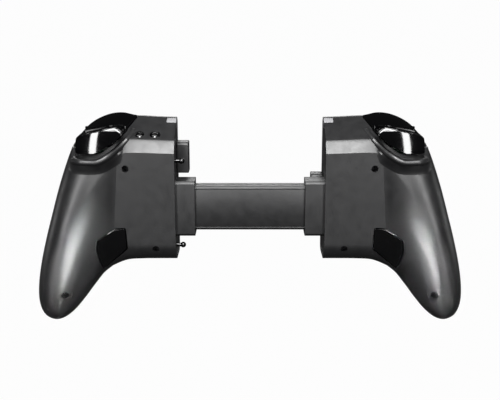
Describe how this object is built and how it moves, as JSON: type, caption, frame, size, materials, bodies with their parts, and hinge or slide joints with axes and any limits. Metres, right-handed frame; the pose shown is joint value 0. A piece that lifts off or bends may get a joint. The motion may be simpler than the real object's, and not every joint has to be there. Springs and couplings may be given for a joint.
{
  "type": "mobile game controller",
  "caption": "Stretching game controller: two grips slide apart on a flat bridge to hold a phone, with sticks, buttons, directional pad, triggers, bumpers and back paddles.",
  "frame": {"origin": "middle of the front face of the bridge's pad, where the back of the phone rests", "axes": "+X along the bridge to the grip of the player's left hand, +Y out of the pad towards the phone and the player, +Z to the bumpers and triggers"},
  "size_m": [0.2222, 0.0555, 0.1072],
  "materials": {
    "shell": "satin",
    "gloss": "gloss",
    "rubber": "matt",
    "steel": "brushed",
    "board": "satin",
    "ribbon": "satin",
    "foil": "satin"
  },
  "bodies": {
    "bridge": {"bridge_rear_cover": "shell", "bridge_front_cover": "shell", "bridge_pad": "rubber", "bridge_screws": "steel", "ribbon_cable": "ribbon", "right_return_spring": "steel", "left_return_spring": "steel"},
    "right_grip": {"right_rear_shell": "shell", "right_front_shell": "shell", "right_cradle_frame": "shell", "right_slide_collar": "shell", "right_spring_anchor": "steel", "right_pivot_pins": "steel", "right_stick_base": "gloss", "right_circuit_board": "board", "right_rumble_motor": "steel", "right_shell_screws": "steel", "right_stop_studs": "shell"},
    "right_trigger": {"right_trigger": "gloss"},
    "right_bumper": {"right_bumper": "gloss"},
    "right_paddle": {"right_paddle": "gloss"},
    "right_phone_stop": {"right_phone_stop": "shell"},
    "right_stick_yoke": {"right_stick_yoke": "steel"},
    "right_stick_hub": {"right_stick_hub": "steel"},
    "right_stick": {"right_stick_shaft": "gloss", "right_stick_cap": "rubber"},
    "right_rumble_weight": {"right_rumble_weight": "steel"},
    "left_grip": {"left_rear_shell": "shell", "left_front_shell": "shell", "left_cradle_frame": "shell", "left_slide_collar": "shell", "left_spring_anchor": "steel", "left_pivot_pins": "steel", "left_stick_base": "gloss", "left_circuit_board": "board", "left_rumble_motor": "steel", "left_shell_screws": "steel", "battery": "foil", "charging_socket": "steel"},
    "left_trigger": {"left_trigger": "gloss"},
    "left_bumper": {"left_bumper": "gloss"},
    "left_paddle": {"left_paddle": "gloss"},
    "left_phone_stop": {"left_phone_stop": "shell"},
    "left_stick_yoke": {"left_stick_yoke": "steel"},
    "left_stick_hub": {"left_stick_hub": "steel"},
    "left_stick": {"left_stick_shaft": "gloss", "left_stick_cap": "rubber"},
    "left_rumble_weight": {"left_rumble_weight": "steel"},
    "face_button_up": {"face_button_up": "gloss"},
    "face_button_down": {"face_button_down": "gloss"},
    "face_button_inner": {"face_button_inner": "gloss"},
    "face_button_outer": {"face_button_outer": "gloss"},
    "top_button_inner": {"top_button_inner": "gloss"},
    "top_button_outer": {"top_button_outer": "gloss"},
    "right_menu_button": {"right_menu_button": "gloss"},
    "home_button": {"home_button": "gloss"},
    "left_menu_button": {"left_menu_button": "gloss"},
    "capture_button": {"capture_button": "gloss"},
    "pad_pivot": {"pad_pivot": "steel"},
    "directional_pad": {"directional_pad": "gloss"}
  },
  "joints": [
    {"name": "right_grip_slide", "type": "slide", "parent": "bridge", "child": "right_grip", "axis": [-1, 0, 0], "range_m": [0, 0.045], "stiffness_N_per_m": 150, "springref_m": -0.03, "deforming": ["right_return_spring"]},
    {"name": "right_trigger_pull", "type": "hinge", "parent": "right_grip", "child": "right_trigger", "pos_m": [-0.0735, -0.008, 0.0354], "axis": [1, 0, 0], "range_deg": [0, 12], "stiffness_Nm_per_rad": 0.12, "springref_deg": -17.19},
    {"name": "right_bumper_press", "type": "hinge", "parent": "right_grip", "child": "right_bumper", "pos_m": [-0.066, 0.001, 0.0386], "axis": [0, -1, 0], "range_deg": [0, 2], "stiffness_Nm_per_rad": 0.3, "springref_deg": -5.73},
    {"name": "right_paddle_press", "type": "hinge", "parent": "right_grip", "child": "right_paddle", "pos_m": [-0.0658, -0.0102, -0.016], "axis": [0, 0, -1], "range_deg": [0, 3], "stiffness_Nm_per_rad": 0.15, "springref_deg": -8.59},
    {"name": "right_stop_slide", "type": "slide", "parent": "right_grip", "child": "right_phone_stop", "axis": [0, 0, 1], "range_m": [-0.017, 0]},
    {"name": "right_stick_up_down", "type": "hinge", "parent": "right_grip", "child": "right_stick_yoke", "pos_m": [-0.058, 0.0062, -0.006], "axis": [1, 0, 0], "range_deg": [-18, 18], "stiffness_Nm_per_rad": 0.02},
    {"name": "right_stick_left_right", "type": "hinge", "parent": "right_stick_yoke", "child": "right_stick_hub", "pos_m": [-0.058, 0.0062, -0.006], "axis": [0, 0, 1], "range_deg": [-18, 18], "stiffness_Nm_per_rad": 0.02},
    {"name": "right_stick_click", "type": "slide", "parent": "right_stick_hub", "child": "right_stick", "axis": [0, -1, 0], "range_m": [0, 0.0005], "stiffness_N_per_m": 800, "springref_m": -0.002},
    {"name": "right_rumble_spin", "type": "hinge", "parent": "right_grip", "child": "right_rumble_weight", "pos_m": [-0.0955, -0.004, -0.031], "axis": [0, 1, 0], "continuous": true},
    {"name": "left_grip_slide", "type": "slide", "parent": "bridge", "child": "left_grip", "axis": [1, 0, 0], "range_m": [0, 0.045], "stiffness_N_per_m": 150, "springref_m": -0.03, "deforming": ["left_return_spring"]},
    {"name": "left_trigger_pull", "type": "hinge", "parent": "left_grip", "child": "left_trigger", "pos_m": [0.0735, -0.008, 0.0354], "axis": [1, 0, 0], "range_deg": [0, 12], "stiffness_Nm_per_rad": 0.12, "springref_deg": -17.19},
    {"name": "left_bumper_press", "type": "hinge", "parent": "left_grip", "child": "left_bumper", "pos_m": [0.066, 0.001, 0.0386], "axis": [0, 1, 0], "range_deg": [0, 2], "stiffness_Nm_per_rad": 0.3, "springref_deg": -5.73},
    {"name": "left_paddle_press", "type": "hinge", "parent": "left_grip", "child": "left_paddle", "pos_m": [0.0658, -0.0102, -0.016], "axis": [0, 0, 1], "range_deg": [0, 3], "stiffness_Nm_per_rad": 0.15, "springref_deg": -8.59},
    {"name": "left_stop_slide", "type": "slide", "parent": "left_grip", "child": "left_phone_stop", "axis": [0, 0, 1], "range_m": [0, 0.017]},
    {"name": "left_stick_up_down", "type": "hinge", "parent": "left_grip", "child": "left_stick_yoke", "pos_m": [0.0775, 0.0062, 0.021], "axis": [1, 0, 0], "range_deg": [-18, 18], "stiffness_Nm_per_rad": 0.02},
    {"name": "left_stick_left_right", "type": "hinge", "parent": "left_stick_yoke", "child": "left_stick_hub", "pos_m": [0.0775, 0.0062, 0.021], "axis": [0, 0, 1], "range_deg": [-18, 18], "stiffness_Nm_per_rad": 0.02},
    {"name": "left_stick_click", "type": "slide", "parent": "left_stick_hub", "child": "left_stick", "axis": [0, -1, 0], "range_m": [0, 0.0005], "stiffness_N_per_m": 800, "springref_m": -0.002},
    {"name": "left_rumble_spin", "type": "hinge", "parent": "left_grip", "child": "left_rumble_weight", "pos_m": [0.0955, -0.004, -0.031], "axis": [0, 1, 0], "continuous": true},
    {"name": "face_button_up_press", "type": "slide", "parent": "right_grip", "child": "face_button_up", "axis": [0, -1, 0], "range_m": [0, 0.0012], "stiffness_N_per_m": 300, "springref_m": -0.001},
    {"name": "face_button_down_press", "type": "slide", "parent": "right_grip", "child": "face_button_down", "axis": [0, -1, 0], "range_m": [0, 0.0012], "stiffness_N_per_m": 300, "springref_m": -0.001},
    {"name": "face_button_inner_press", "type": "slide", "parent": "right_grip", "child": "face_button_inner", "axis": [0, -1, 0], "range_m": [0, 0.0012], "stiffness_N_per_m": 300, "springref_m": -0.001},
    {"name": "face_button_outer_press", "type": "slide", "parent": "right_grip", "child": "face_button_outer", "axis": [0, -1, 0], "range_m": [0, 0.0012], "stiffness_N_per_m": 300, "springref_m": -0.001},
    {"name": "top_button_inner_press", "type": "slide", "parent": "right_grip", "child": "top_button_inner", "axis": [0, 0.4695, -0.8829], "range_m": [0, 0.0005], "stiffness_N_per_m": 300, "springref_m": -0.001},
    {"name": "top_button_outer_press", "type": "slide", "parent": "right_grip", "child": "top_button_outer", "axis": [0, 0.4695, -0.8829], "range_m": [0, 0.0005], "stiffness_N_per_m": 300, "springref_m": -0.001},
    {"name": "right_menu_button_press", "type": "slide", "parent": "right_grip", "child": "right_menu_button", "axis": [0, -1, 0], "range_m": [0, 0.0005], "stiffness_N_per_m": 300, "springref_m": -0.001},
    {"name": "home_button_press", "type": "slide", "parent": "right_grip", "child": "home_button", "axis": [0, -1, 0], "range_m": [0, 0.0005], "stiffness_N_per_m": 300, "springref_m": -0.001},
    {"name": "left_menu_button_press", "type": "slide", "parent": "left_grip", "child": "left_menu_button", "axis": [0, -1, 0], "range_m": [0, 0.0005], "stiffness_N_per_m": 300, "springref_m": -0.001},
    {"name": "capture_button_press", "type": "slide", "parent": "left_grip", "child": "capture_button", "axis": [0, -1, 0], "range_m": [0, 0.0005], "stiffness_N_per_m": 300, "springref_m": -0.001},
    {"name": "pad_rock_up_down", "type": "hinge", "parent": "left_grip", "child": "pad_pivot", "pos_m": [0.058, 0.0083, -0.006], "axis": [1, 0, 0], "range_deg": [-4, 4], "stiffness_Nm_per_rad": 0.2},
    {"name": "pad_rock_left_right", "type": "hinge", "parent": "pad_pivot", "child": "directional_pad", "pos_m": [0.058, 0.0083, -0.006], "axis": [0, 0, 1], "range_deg": [-4, 4], "stiffness_Nm_per_rad": 0.2}
  ]
}
